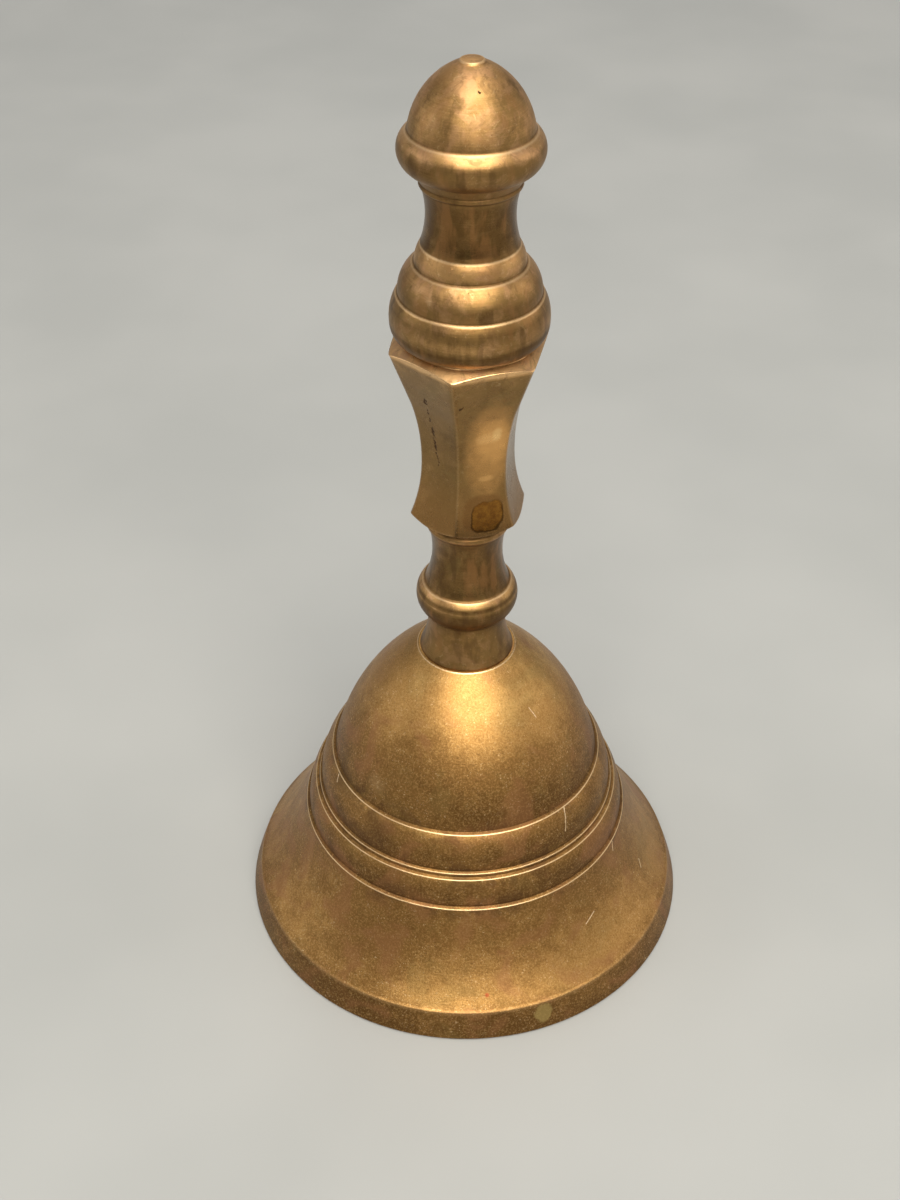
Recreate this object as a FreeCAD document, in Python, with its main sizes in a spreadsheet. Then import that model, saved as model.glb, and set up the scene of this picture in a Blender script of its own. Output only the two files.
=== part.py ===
import FreeCAD, Part
import Sketcher
import math
import os

# A brass table bell: a turned shell with a hexagonal cast grip on its crown, and a
# clapper on a wire link hung from an eye bolt. Millimetres, +Z up, origin in the
# plane of the rim on the bell's own axis.

os.makedirs("parts", exist_ok=True)
doc = FreeCAD.newDocument("table_bell")

# Sizes of the wire parts and the side cuts. The turned profiles are listed further down.
SIZES = {
    "eye_ring_radius": 3.0,
    "eye_wire_radius": 1.15,
    "eye_height": 40.0,
    "link_wire_radius": 0.9,
    "link_bend_radius": 2.2,
    "link_straight": 3.0,
    "loop_radius": 2.0,
    "loop_wire_radius": 0.95,
    "grip_cut_width": 40.0,
    "grip_sides": 6,
}

# Each station: name, radius, height, and the curve to the next station. A curve is
# None for a straight run, or ("out", R) / ("in", R) for an arc bulging away from or
# towards the axis.
SHELL = [
    ("rim_foot", 37.75, 0.0, None),
    ("rim_low", 38.0, 0.35, ("out", 60.0)),
    ("rim_arris", 36.5, 5.0, None),
    ("flare_start", 36.15, 5.25, ("in", 38.0)),
    ("ring_low", 27.6, 20.2, None),
    ("ledge_low", 27.05, 20.45, ("out", 9.5)),
    ("ring_mid_outer", 25.75, 25.25, None),
    ("ring_mid_step", 25.2, 25.4, None),
    ("ring_mid_inner", 25.1, 26.0, None),
    ("ledge_mid", 24.65, 26.2, ("out", 10.0)),
    ("ring_high", 22.6, 32.4, None),
    ("dome_foot", 22.05, 32.6, ("out", 37.6)),
    ("crown_edge", 7.95, 54.02, None),
    ("crown_seat", 7.85, 54.1, None),
    ("crown_bore_top", 2.8, 54.1, None),
    ("crown_bore_low", 2.8, 50.5, None),
    ("crown_inner", 8.83, 50.5, ("out", 32.1)),
    ("wall_shoulder", 19.46, 32.0, None),
    ("wall_waist", 25.2, 19.6, ("in", 38.0)),
    ("lip_inner", 33.9, 4.2, ("out", 12.0)),
    ("rim_inner", 34.9, 0.3, None),
    ("rim_inner_foot", 35.2, 0.0, None),
]

GRIP = [
    ("bore_mouth", 2.95, 54.1, None),
    ("foot_edge", 7.5, 54.1, None),
    ("foot_top", 7.45, 54.4, ("in", 13.0)),
    ("bead_root", 6.25, 61.5, ("out", 3.9)),
    ("bead_top", 7.0, 67.4, None),
    ("cove_low", 6.65, 67.55, ("in", 16.0)),
    ("cove_high", 6.05, 77.9, None),
    ("rim_ring_low", 6.3, 78.15, ("out", 0.7)),
    ("rim_ring_high", 6.2, 79.2, None),
    ("cone_low_start", 6.25, 79.45, None),
    ("cone_low_end", 12.4, 84.3, None),
    ("cone_high_start", 12.5, 109.2, None),
    ("cone_high_end", 9.6, 110.85, None),
    ("ball_foot", 9.8, 110.95, ("out", 2.6)),
    ("ball_waist", 11.36, 113.4, ("out", 7.4)),
    ("step_low_top", 10.4, 117.7, None),
    ("groove_low", 10.15, 117.85, ("out", 5.4)),
    ("step_mid_top", 8.1, 122.25, None),
    ("groove_mid", 7.8, 122.4, ("out", 5.5)),
    ("step_high_top", 6.95, 125.1, ("in", 13.7)),
    ("neck_high", 6.75, 133.5, None),
    ("fillet_low", 6.95, 133.6, ("out", 0.5)),
    ("fillet_high", 6.95, 134.3, None),
    ("collar_low", 7.65, 135.75, ("out", 3.0)),
    ("collar_high", 8.74, 141.1, None),
    ("dome_low", 8.5, 141.35, ("out", 11.2)),
    ("dome_high", 1.75, 150.1, None),
    ("nub_edge", 1.6, 150.4, None),
    ("nub_top", 0.0, 150.55, None),
    ("bore_tip", 0.0, 71.5, None),
    ("bore_end", 2.53, 70.0, None),
    ("bore_chamfer", 2.53, 54.55, None),
]

# One side of the grip: everything outside this curve is cut away, six times round.
GRIP_SIDE = [
    ("side_low", 8.75, 79.6, ("in", 27.5)),
    ("side_waist_low", 6.38, 91.0, None),
    ("side_waist_high", 6.38, 91.4, ("in", 36.8)),
    ("side_straight", 7.7, 101.0, None),
    ("side_high", 10.8, 110.6, None),
    ("side_out_high", 16.0, 110.6, None),
    ("side_out_low", 16.0, 79.6, None),
]

SHANK = [
    ("shank_tip", 0.0, 68.0, None),
    ("shank_face", 2.1, 68.0, None),
    ("shank_crest", 2.5, 67.6, None),
    ("shank_end", 2.5, 44.2, None),
    ("shank_neck", 1.35, 42.9, None),
    ("shank_axis", 0.0, 42.9, None),
]

WASHER = [
    ("washer_in_top", 2.65, 50.5, None),
    ("washer_in_low", 2.65, 49.3, None),
    ("washer_out_low", 5.85, 49.3, None),
    ("washer_out_edge", 6.0, 49.45, None),
    ("washer_out_top", 6.0, 50.5, None),
]

NUT = [
    ("nut_in_top", 2.53, 49.3, None),
    ("nut_in_low", 2.53, 45.65, None),
    ("nut_in_edge", 2.9, 45.3, None),
    ("nut_face", 3.9, 45.3, None),
    ("nut_cone", 4.8, 45.82, None),
    ("nut_cone_high", 4.8, 48.78, None),
    ("nut_face_high", 3.9, 49.3, None),
]

NUT_SIDE = [
    ("flat_low", 4.0, 45.0, None),
    ("flat_high", 4.0, 49.6, None),
    ("flat_out_high", 7.0, 49.6, None),
    ("flat_out_low", 7.0, 45.0, None),
]

STEM = [
    ("stem_tip", 0.0, 29.9, None),
    ("stem_neck", 0.8, 29.9, None),
    ("stem_taper", 1.2, 28.5, None),
    ("stem_end", 1.2, 8.5, None),
    ("stem_axis", 0.0, 8.5, None),
]

BALL = [
    ("ball_pole", 0.0, 2.0, ("out", 6.5)),
    ("ball_shoulder", 2.2, 14.62, None),
    ("boss_top", 1.9, 15.7, None),
    ("boss_mouth", 1.23, 15.7, None),
    ("socket_end", 1.23, 8.2, None),
    ("socket_tip", 0.0, 7.6, None),
]


def make_sheet():
    sheet = doc.addObject("Spreadsheet::Sheet", "sizes")
    rows = list(SIZES.items())
    for profile in (SHELL, GRIP, GRIP_SIDE, SHANK, WASHER, NUT, NUT_SIDE, STEM, BALL):
        for name, radius, height, curve in profile:
            if radius:
                rows.append((name + "_r", radius))
            if height:
                rows.append((name + "_z", height))
            if curve:
                rows.append((name + "_arc", curve[1]))
    for line, (alias, value) in enumerate(rows, 1):
        sheet.set("A%d" % line, alias)
        sheet.set("B%d" % line, str(value))
        sheet.setAlias("B%d" % line, alias)
    doc.recompute()
    return sheet


def origin_item(body, role):
    for item in body.Origin.OriginFeatures:
        if item.Role == role:
            return item
    raise ValueError("no origin feature " + role)


def arc_between(start, end, curve):
    """An arc through both points, and whether it runs backwards from end to start."""
    side, radius = curve
    chord = end - start
    half = chord.Length / 2
    reach = math.sqrt(max(radius * radius - half * half, 0.0))
    normal = FreeCAD.Vector(chord.y, -chord.x, 0).normalize()
    if abs(normal.x) < 1e-9:
        outward = normal if normal.y > 0 else normal * -1
    else:
        outward = normal if normal.x > 0 else normal * -1
    inward = outward * -1
    centre = (start + end) * 0.5 + (inward if side == "out" else outward) * reach
    circle = Part.Circle(centre, FreeCAD.Vector(0, 0, 1), radius)
    angle_a = math.atan2(start.y - centre.y, start.x - centre.x)
    angle_b = math.atan2(end.y - centre.y, end.x - centre.x)
    sweep = (angle_b - angle_a) % (2 * math.pi)
    if sweep <= math.pi + 1e-6:
        return Part.ArcOfCircle(circle, angle_a, angle_a + sweep), False
    return Part.ArcOfCircle(circle, angle_b, angle_b + 2 * math.pi - sweep), True


def bind(sketch, kind, first, position, alias):
    """A driving dimension on one point, or on an arc, held by a cell of the sheet."""
    value = float(sheet.get(alias))
    if kind == "Radius":
        constraint = Sketcher.Constraint("Radius", first, value)
    else:
        constraint = Sketcher.Constraint(kind, -1, 1, first, position, value)
    index = sketch.addConstraint(constraint)
    sketch.renameConstraint(index, alias)
    sketch.setExpression("Constraints." + alias, "sizes." + alias)


def draw_profile(body, name, stations):
    """A closed, fully dimensioned half-profile in the body's XZ plane."""
    sketch = body.newObject("Sketcher::SketchObject", name)
    sketch.AttachmentSupport = [(origin_item(body, "XZ_Plane"), "")]
    sketch.MapMode = "FlatFace"
    points = [FreeCAD.Vector(radius, height, 0) for _, radius, height, _ in stations]
    ends = []
    for index, (_, _, _, curve) in enumerate(stations):
        start, end = points[index], points[(index + 1) % len(points)]
        if curve:
            arc, backwards = arc_between(start, end, curve)
            sketch.addGeometry(arc)
            ends.append((2, 1) if backwards else (1, 2))
        else:
            sketch.addGeometry(Part.LineSegment(start, end))
            ends.append((1, 2))
    count = len(stations)
    for index in range(count):
        following = (index + 1) % count
        sketch.addConstraint(
            Sketcher.Constraint("Coincident", index, ends[index][1], following, ends[following][0])
        )
    for index, (station, radius, height, curve) in enumerate(stations):
        position = ends[index][0]
        if radius:
            bind(sketch, "DistanceX", index, position, station + "_r")
        else:
            sketch.addConstraint(Sketcher.Constraint("PointOnObject", index, position, -2))
        if height:
            bind(sketch, "DistanceY", index, position, station + "_z")
        else:
            sketch.addConstraint(Sketcher.Constraint("PointOnObject", index, position, -1))
        if curve:
            bind(sketch, "Radius", index, None, station + "_arc")
    doc.recompute()
    return sketch


def turned(name, stations):
    """A body whose first feature is the profile turned a full circle about Z."""
    body = doc.addObject("PartDesign::Body", name)
    sketch = draw_profile(body, name + "_profile", stations)
    turn = body.newObject("PartDesign::Revolution", name + "_turning")
    turn.Profile = sketch
    turn.ReferenceAxis = (sketch, ["V_Axis"])
    turn.Angle = 360
    body.Tip = turn
    doc.recompute()
    return body


def cut_six_sides(body, name, stations):
    """Cut one flat side through the body, and repeat it six times round the axis."""
    before = body.Shape.Volume
    sketch = draw_profile(body, name + "_side", stations)
    side = body.newObject("PartDesign::Pocket", name + "_side_cut")
    side.Profile = sketch
    side.Type = "Length"
    side.SideType = "Symmetric"
    side.setExpression("Length", "sizes.grip_cut_width")
    doc.recompute()
    pattern = body.newObject("PartDesign::PolarPattern", name + "_sides")
    pattern.Originals = [side]
    pattern.Axis = (origin_item(body, "Z_Axis"), [""])
    pattern.Angle = 360
    pattern.setExpression("Occurrences", "sizes.grip_sides")
    body.Tip = pattern
    doc.recompute()
    if not body.Shape.Volume < before - 1:
        raise ValueError(name + " sides cut nothing")
    return body


def ring(name, major, minor, height, turn_angle, axis, sweep=360):
    """A torus, or part of one, standing on the bell's axis."""
    torus = doc.addObject("Part::Torus", name)
    torus.setExpression("Radius1", "sizes." + major)
    torus.setExpression("Radius2", "sizes." + minor)
    torus.Angle3 = sweep
    torus.Placement = FreeCAD.Placement(
        FreeCAD.Vector(0, 0, 0), FreeCAD.Rotation(axis, turn_angle)
    )
    torus.setExpression("Placement.Base.z", height)
    return torus


def wire(name, radius, length, x_place, z_place):
    rod = doc.addObject("Part::Cylinder", name)
    rod.setExpression("Radius", "sizes." + radius)
    rod.setExpression("Height", length)
    rod.setExpression("Placement.Base.x", x_place)
    rod.setExpression("Placement.Base.z", z_place)
    return rod


def fused(label, pieces):
    union = doc.addObject("Part::MultiFuse", label)
    union.Shapes = pieces
    union.Refine = True
    union.Label = label
    doc.recompute()
    return union


def make_bell_body():
    return turned("bell_body", SHELL)


def make_handle():
    return cut_six_sides(turned("handle", GRIP), "handle", GRIP_SIDE)


def make_eye_bolt():
    """The threaded shank, with a closed eye standing in the YZ plane at its foot."""
    shank = turned("eye_shank", SHANK)
    eye = ring("eye_ring", "eye_ring_radius", "eye_wire_radius", "sizes.eye_height", 90,
               FreeCAD.Vector(0, 1, 0))
    return fused("eye_bolt", [shank, eye])


def make_link():
    """An oval wire link in the XZ plane, its upper bend wrapped round the eye."""
    upper_z = "(sizes.eye_height - sizes.eye_ring_radius)"
    lower_z = "(" + upper_z + " - sizes.link_straight)"
    across = FreeCAD.Vector(1, 0, 0)
    upper = ring("link_upper", "link_bend_radius", "link_wire_radius", upper_z, 90, across, 180)
    lower = ring("link_lower", "link_bend_radius", "link_wire_radius", lower_z, -90, across, 180)
    sides = [
        wire("link_left", "link_wire_radius", "sizes.link_straight",
             "-sizes.link_bend_radius", lower_z),
        wire("link_right", "link_wire_radius", "sizes.link_straight",
             "sizes.link_bend_radius", lower_z),
    ]
    return fused("clapper_link", [upper, lower] + sides)


def make_rod():
    """The clapper rod: a closed loop in the YZ plane on a straight stem."""
    eye_foot = "sizes.eye_height - sizes.eye_ring_radius"
    pivot_z = "(" + eye_foot + " - sizes.link_straight - sizes.link_bend_radius)"
    loop = ring("rod_loop", "loop_radius", "loop_wire_radius", pivot_z, 90,
                FreeCAD.Vector(0, 1, 0))
    return fused("clapper_rod", [turned("rod_stem", STEM), loop])


def export(piece):
    if {"Invalid", "Error"} & set(piece.State):
        raise ValueError(piece.Label + " did not compute")
    shape = piece.Shape
    if shape.isNull() or not shape.isValid() or len(shape.Solids) != 1:
        raise ValueError(piece.Label + " is not one valid solid")
    shape.exportStep("parts/" + piece.Label + ".step")
    box = shape.BoundBox
    print("%-14s %9.1f mm3  x %.2f..%.2f  z %.2f..%.2f" % (
        piece.Label, shape.Volume, box.XMin, box.XMax, box.ZMin, box.ZMax))


sheet = make_sheet()
pieces = [
    make_bell_body(),
    make_handle(),
    make_eye_bolt(),
    turned("crown_washer", WASHER),
    cut_six_sides(turned("lock_nut", NUT), "lock_nut", NUT_SIDE),
    make_link(),
    make_rod(),
    turned("clapper_ball", BALL),
]
doc.recompute()
for item in doc.Objects:
    if {"Invalid", "Error"} & set(item.State):
        raise ValueError(item.Name + " did not compute")
for piece in pieces:
    export(piece)
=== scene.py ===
import math

import bpy
import numpy as np
from mathutils import Matrix, Vector


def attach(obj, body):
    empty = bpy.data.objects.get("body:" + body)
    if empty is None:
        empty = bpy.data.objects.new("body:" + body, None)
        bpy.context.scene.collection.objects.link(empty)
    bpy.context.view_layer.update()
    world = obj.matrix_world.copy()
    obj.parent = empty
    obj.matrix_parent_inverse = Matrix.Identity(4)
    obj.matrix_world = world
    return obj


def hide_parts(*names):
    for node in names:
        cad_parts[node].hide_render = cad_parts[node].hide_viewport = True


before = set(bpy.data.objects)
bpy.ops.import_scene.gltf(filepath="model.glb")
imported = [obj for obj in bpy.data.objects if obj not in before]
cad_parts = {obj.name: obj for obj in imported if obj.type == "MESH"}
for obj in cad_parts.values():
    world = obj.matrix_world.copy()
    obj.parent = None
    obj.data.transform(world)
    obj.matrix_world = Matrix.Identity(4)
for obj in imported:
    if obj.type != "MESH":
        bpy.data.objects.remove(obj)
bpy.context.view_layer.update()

MM = 0.001
TAU = 2 * math.pi

# ---------------------------------------------------------------- profiles, in mm
# A station is (radius, height, curve to the next station, softening of this corner, kind).
# A curve is None or (bulge, radius), with bulge +1 away from the axis. Kind is "edge" for an arris worn
# bright and painted brighter still as a highlight, "groove" for a corner darkened by painted shade, and on
# the shell also by grime and on the steel by rust, "rim" for the lip's top corner, or "" for none.
SHELL_OUTER = [
    (37.75, 0.0, None, 0.08, ""),
    (38.0, 0.35, (1, 60.0), 0.15, ""),
    (36.5, 5.0, None, 0.22, "rim"),
    (36.15, 5.25, (-1, 38.0), 0.3, ""),
    (27.6, 20.2, None, 0.10, "edge"),
    (27.05, 20.45, (1, 9.5), 0.08, "groove"),
    (25.75, 25.25, None, 0.07, "edge"),
    (25.2, 25.4, None, 0.06, "groove"),
    (25.1, 26.0, None, 0.07, "edge"),
    (24.65, 26.2, (1, 10.0), 0.08, "groove"),
    (22.6, 32.4, None, 0.10, "edge"),
    (22.05, 32.6, (1, 37.6), 0.08, "groove"),
    (7.95, 54.02, None, 0.03, "edge"),
    (7.85, 54.1, None, 0.0, ""),
    (2.8, 54.1, None, 0.0, ""),
]
SHELL_INNER = [
    (2.8, 50.5, None, 0.0, ""),
    (8.83, 50.5, (1, 32.1), 0.4, "groove"),
    (19.46, 32.0, None, 1.0, ""),
    (25.2, 19.6, (-1, 38.0), 1.0, ""),
    (33.9, 4.2, (1, 12.0), 0.3, ""),
    (34.9, 0.3, None, 0.1, ""),
    (35.2, 0.0, None, 0.05, ""),
]
GRIP_LOW = [
    (7.5, 54.1, None, 0.05, ""),
    (7.45, 54.4, (-1, 13.0), 0.1, ""),
    (6.25, 61.5, (1, 3.9), 0.15, "groove"),
    (7.0, 67.4, None, 0.12, "edge"),
    (6.65, 67.55, (-1, 16.0), 0.15, "groove"),
    (6.05, 77.9, None, 0.12, "groove"),
    (6.3, 78.15, (1, 0.7), 0.1, ""),
    (6.2, 79.2, None, 0.06, "groove"),
    (6.25, 79.45, None, 0.08, ""),
]
GRIP_HIGH = [
    (9.6, 110.85, None, 0.12, "groove"),
    (9.8, 110.95, (1, 2.6), 0.15, "groove"),
    (11.36, 113.4, (1, 7.4), 0.0, ""),
    (10.4, 117.7, None, 0.14, "edge"),
    (10.15, 117.85, (1, 5.4), 0.2, "groove"),
    (8.1, 122.25, None, 0.16, "edge"),
    (7.8, 122.4, (1, 5.5), 0.2, "groove"),
    (6.95, 125.1, (-1, 13.7), 0.12, "edge"),
    (6.75, 133.5, None, 0.1, "groove"),
    (6.95, 133.6, (1, 0.5), 0.08, ""),
    (6.95, 134.3, None, 0.1, "groove"),
    (7.65, 135.75, (1, 3.0), 0.3, ""),
    (8.74, 141.1, None, 0.12, "edge"),
    (8.5, 141.35, (1, 11.2), 0.2, "groove"),
    (1.75, 150.1, None, 0.15, ""),
    (1.6, 150.4, None, 0.12, "edge"),
    (0.0, 150.55, None, 0.0, ""),
]
# the blind hole for the bolt, as (radius, height)
GRIP_BORE = [(0.0, 71.5), (2.53, 70.0), (2.53, 54.55), (2.95, 54.1)]
# a flat side of the grip, as (distance from the axis, height, curve to the next)
GRIP_SIDE = [
    (8.75, 79.6, (-1, 27.5)),
    (6.38, 91.0, None),
    (6.38, 91.4, (-1, 36.8)),
    (7.7, 101.0, None),
    (10.8, 110.6, None),
]
# the cones that cut the grip's ends, each from (radius, height) to (radius, height)
LOW_CONE = ((6.25, 79.45), (12.4, 84.3))
HIGH_CONE = ((12.5, 109.2), (9.6, 110.85))
SIDES = 6
CONE_ROWS, FACE_ROWS = 7, 110
CORNER_SHARPNESS = 46.0

THREAD_PITCH = 0.8
EYE_BOLT = [
    (0.0, 68.0, None, 0.0, ""),
    (2.1, 68.0, None, 0.1, ""),
    (2.5, 67.6, None, 0.1, ""),
    (2.5, 44.2, None, 0.2, ""),
    (1.35, 42.9, None, 0.1, ""),
    (0.0, 42.9, None, 0.0, ""),
]
WASHER = [
    (2.65, 50.5, None, 0.0, ""),
    (2.65, 49.3, None, 0.12, ""),
    (5.85, 49.3, None, 0.12, "edge"),
    (6.0, 49.45, None, 0.05, "edge"),
    (6.0, 50.5, None, 0.08, ""),
    (2.65, 50.5, None, 0.0, ""),
]
ROD_STEM = [
    (0.0, 29.9, None, 0.0, ""),
    (0.8, 29.9, None, 0.05, ""),
    (1.2, 28.5, None, 0.3, ""),
    (1.2, 8.5, None, 0.05, ""),
    (0.0, 8.5, None, 0.0, ""),
]
BALL = [
    (0.0, 2.0, (1, 6.5), 0.0, ""),
    (2.2, 14.62, None, 0.12, "groove"),
    (1.9, 15.7, None, 0.1, "edge"),
    (1.23, 15.7, None, 0.0, "groove"),
    (1.23, 8.2, None, 0.0, ""),
    (0.0, 7.6, None, 0.0, ""),
]
NUT_LOW, NUT_HIGH = 45.3, 49.3
NUT_FACE, NUT_APOTHEM, NUT_CORNER = 3.85, 4.0, 4.58
# centre height, radius to the middle of the wire, and the wire's own radius
BOLT_EYE = (40.0, 3.0, 1.15)
ROD_LOOP = (31.8, 2.0, 0.95)
LINK_LOW, LINK_HIGH, LINK_BEND, LINK_WIRE = 34.0, 37.0, 2.2, 0.9
# stands for "no edge or groove near"
FAR = 99.0

# How dark the brass is at each height in mm, from 0 rubbed bright to 1 dark brown. This is partly real
# tarnish and partly painted highlight and shade: bright bands stand where highlights fall, and dark bands
# where the brass reflects dim surroundings.
SHELL_TARNISH_AND_LIGHT = [
    (0.0, 0.95), (4.6, 0.86), (5.0, 0.60), (6.5, 0.46), (10.0, 0.52), (15.0, 0.64), (20.0, 0.64),
    (20.5, 0.90), (23.0, 0.84), (24.6, 0.66), (25.2, 0.5), (26.1, 0.65), (26.3, 0.92), (29.0, 0.86),
    (31.4, 0.66), (32.2, 0.5), (32.7, 0.94), (35.5, 0.90), (40.0, 0.70), (46.0, 0.40), (50.0, 0.26),
    (54.0, 0.28),
]
GRIP_TARNISH_AND_LIGHT = [
    (54.1, 0.92), (56.0, 0.76), (60.0, 0.80), (61.5, 1.00), (64.0, 1.05), (65.2, 0.95), (65.8, 0.55),
    (66.1, 0.92), (66.4, 0.92), (66.7, 0.48), (67.4, 0.30), (67.7, 0.86), (70.0, 0.95), (77.5, 0.90),
    (78.4, 0.55), (79.2, 0.85), (80.5, 0.68), (90.0, 0.74), (106.0, 0.72), (109.0, 0.60), (109.6, 0.00),
    (110.7, 0.00), (111.0, 0.80), (113.2, 1.00), (114.1, 0.60), (114.9, 0.56), (116.3, 0.78),
    (117.4, 0.62), (117.6, 0.36), (117.9, 0.75), (119.3, 0.80), (120.8, 0.60), (122.2, 0.34),
    (122.5, 0.66), (123.4, 0.34), (125.0, 0.40), (125.4, 0.84), (128.0, 0.95), (132.5, 0.98),
    (133.7, 0.75), (134.6, 0.80), (136.0, 0.72), (137.6, 0.76), (139.6, 0.74), (140.5, 0.36),
    (141.1, 0.20), (141.4, 0.65), (142.3, 0.56), (149.5, 0.48), (150.5, 0.48),
]


def arc_points(start, end, curve, count):
    """count + 1 points from start to end, along a straight line or an arc."""
    start, end = np.array(start, float), np.array(end, float)
    steps = np.linspace(0, 1, count + 1)[:, None]
    if curve is None:
        return start * (1 - steps) + end * steps
    bulge, radius = curve
    chord = end - start
    half = np.hypot(*chord) / 2
    normal = np.array([chord[1], -chord[0]]) / (2 * half)
    if normal[0] < 0 or (abs(normal[0]) < 1e-9 and normal[1] < 0):
        normal = -normal
    centre = (start + end) / 2 - normal * bulge * math.sqrt(radius * radius - half * half)
    first = math.atan2(*(start - centre)[::-1])
    last = math.atan2(*(end - centre)[::-1])
    sweep = (last - first + math.pi) % TAU - math.pi
    angles = first + steps[:, 0] * sweep
    return np.stack([centre[0] + radius * np.cos(angles), centre[1] + radius * np.sin(angles)], 1)


def distance_along(path):
    """How far along a path each of its points is."""
    return np.concatenate([[0], np.cumsum(np.hypot(*np.diff(path, axis=0).T))])


def point_along(path, place, distance):
    return np.array([np.interp(distance, place, path[:, 0]), np.interp(distance, place, path[:, 1])])


def nearness(run, marks):
    """How far each point is from the nearest station of each kind."""
    near = {}
    for kind in ("edge", "groove", "rim"):
        near[kind] = np.full(len(run), FAR)
        for place, mark in marks:
            if mark == kind:
                near[kind] = np.minimum(near[kind], np.abs(run - run[place]))
    return near


def soft_outline(stations, spacing):
    """Points through the stations with each corner rounded, how far along each point is, and
    how near it is to each kind of station."""
    paths = [arc_points(here[:2], there[:2], here[2], 64)
             for here, there in zip(stations[:-1], stations[1:])]
    places = [distance_along(path) for path in paths]
    last = len(stations) - 1
    soft = [station[3] if 0 < index < last else 0.0 for index, station in enumerate(stations)]
    points, marks = [], []
    for index, station in enumerate(stations):
        corner, ahead = np.array(station[:2], float), 0.0
        if soft[index] > 0:
            path, place = paths[index - 1], places[index - 1]
            before = point_along(path, place, place[-1] - min(soft[index], place[-1] * 0.45))
            ahead = min(soft[index], places[index][-1] * 0.45)
            after = point_along(paths[index], places[index], ahead)
            points += [before * (1 - t) ** 2 + corner * 2 * t * (1 - t) + after * t * t
                       for t in np.linspace(0, 1, 6)]
        else:
            points.append(corner)
        marks.append((len(points) - (4 if soft[index] > 0 else 1), station[4]))
        if index < last:
            path, place = paths[index], places[index]
            free = place[-1] - ahead - min(soft[index + 1], place[-1] * 0.45)
            count = max(2, math.ceil(free / spacing))
            points += [point_along(path, place, ahead + free * step / count) for step in range(1, count)]
    points = np.array(points)
    run = distance_along(points)
    return points, run, nearness(run, marks)


def build_mesh(name, verts, faces, attributes=None, smooth=True):
    mesh = bpy.data.meshes.new(name)
    mesh.from_pydata([tuple(v) for v in verts], [], faces)
    for label, values in (attributes or {}).items():
        layer = mesh.attributes.new(label, "FLOAT", "POINT")
        layer.data.foreach_set("value", np.asarray(values, np.float32))
    if smooth:
        mesh.polygons.foreach_set("use_smooth", [True] * len(mesh.polygons))
    mesh.validate()
    mesh.update()
    obj = bpy.data.objects.new(name, mesh)
    bpy.context.scene.collection.objects.link(obj)
    return obj


def spread(values, columns):
    """The same values in every column of a grid."""
    return np.repeat(np.asarray(values, float)[None], columns, 0)


def grid_solid(name, angles, radius, height, attributes, closed_rows):
    """A turned solid from columns of (radius, height), in mm. Rows at radius 0 become one point.
    closed_rows joins the last row to the first."""
    columns, rows = radius.shape
    verts, firsts = [], []
    layers = {key: [] for key in attributes}
    for row in range(rows):
        is_point = radius[:, row].max() < 1e-6
        firsts.append((len(verts), is_point))
        for column in range(1 if is_point else columns):
            r, angle = radius[column, row] * MM, angles[column]
            verts.append((r * math.cos(angle), r * math.sin(angle), height[column, row] * MM))
            for key in attributes:
                layers[key].append(attributes[key][column, row])
    pairs = list(zip(firsts[:-1], firsts[1:]))
    if closed_rows:
        pairs.append((firsts[-1], firsts[0]))
    faces = []
    for (a, a_point), (b, b_point) in pairs:
        if a_point and b_point:
            continue
        for column in range(columns):
            following = (column + 1) % columns
            if a_point:
                faces.append((a, b + following, b + column))
            elif b_point:
                faces.append((a + column, a + following, b))
            else:
                faces.append((a + column, a + following, b + following, b + column))
    return build_mesh(name, verts, faces, layers)


def wobble(angles, height, amount, seed):
    """A slow, smooth unevenness, so that no turned form is perfect."""
    rng = np.random.default_rng(seed)
    total = np.zeros((len(angles), len(height)))
    for _ in range(5):
        turns = rng.integers(1, 4)
        phase, rise, share = rng.uniform(0, TAU), rng.uniform(0.02, 0.09), rng.uniform(0.3, 1.0)
        total += share * np.sin(turns * angles[:, None] + rise * height[None, :] + phase)
    return amount * total / 5


# ---------------------------------------------------------------- the shell
def make_shell():
    outer, outer_run, outer_near = soft_outline(SHELL_OUTER, 0.32)
    inner, inner_run, inner_near = soft_outline(SHELL_INNER, 0.7)
    columns = 360
    angles = np.linspace(0, TAU, columns, endpoint=False)
    points = np.concatenate([outer, inner])
    # true at the crown, where the handle and washer sit, and nearly so at the rim
    waver = wobble(angles, points[:, 1], 0.05, 3)
    waver[:, points[:, 0] < 9] = 0
    waver[:, points[:, 1] < 0.6] *= 0.2
    height = spread(points[:, 1], columns)
    attributes = {kind: spread(np.concatenate([outer_near[kind], inner_near[kind]]), columns)
                  for kind in ("edge", "rim", "groove")}
    attributes["run"] = spread(np.concatenate([outer_run, outer_run[-1] + inner_run]), columns)
    attributes["inside"] = spread(np.r_[np.zeros(len(outer)), np.ones(len(inner))], columns)
    attributes["tarnish_and_painted_light"] = np.interp(height, *np.array(SHELL_TARNISH_AND_LIGHT).T)
    radius = spread(points[:, 0], columns) - np.abs(waver)
    return grid_solid("bell_shell", angles, radius, height, attributes, True)


# ---------------------------------------------------------------- the handle
def side_distance():
    """Heights and the flat side's distance from the axis, densely sampled."""
    path = np.concatenate([arc_points(here[:2], there[:2], here[2], 80)[:-1]
                           for here, there in zip(GRIP_SIDE[:-1], GRIP_SIDE[1:])]
                          + [[GRIP_SIDE[-1][:2]]])
    return path[:, 1], path[:, 0]


def hex_factor(angle):
    """Radius of a softened hexagon for an apothem of 1, with corners at -90 degrees and every 60."""
    within = (angle + math.pi / SIDES) % (TAU / SIDES) - math.pi / SIDES
    total = np.cos(within) ** CORNER_SHARPNESS
    total += np.cos(TAU / SIDES - abs(within)) ** CORNER_SHARPNESS
    return total ** (-1 / CORNER_SHARPNESS), abs(abs(within) - math.pi / SIDES)


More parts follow.
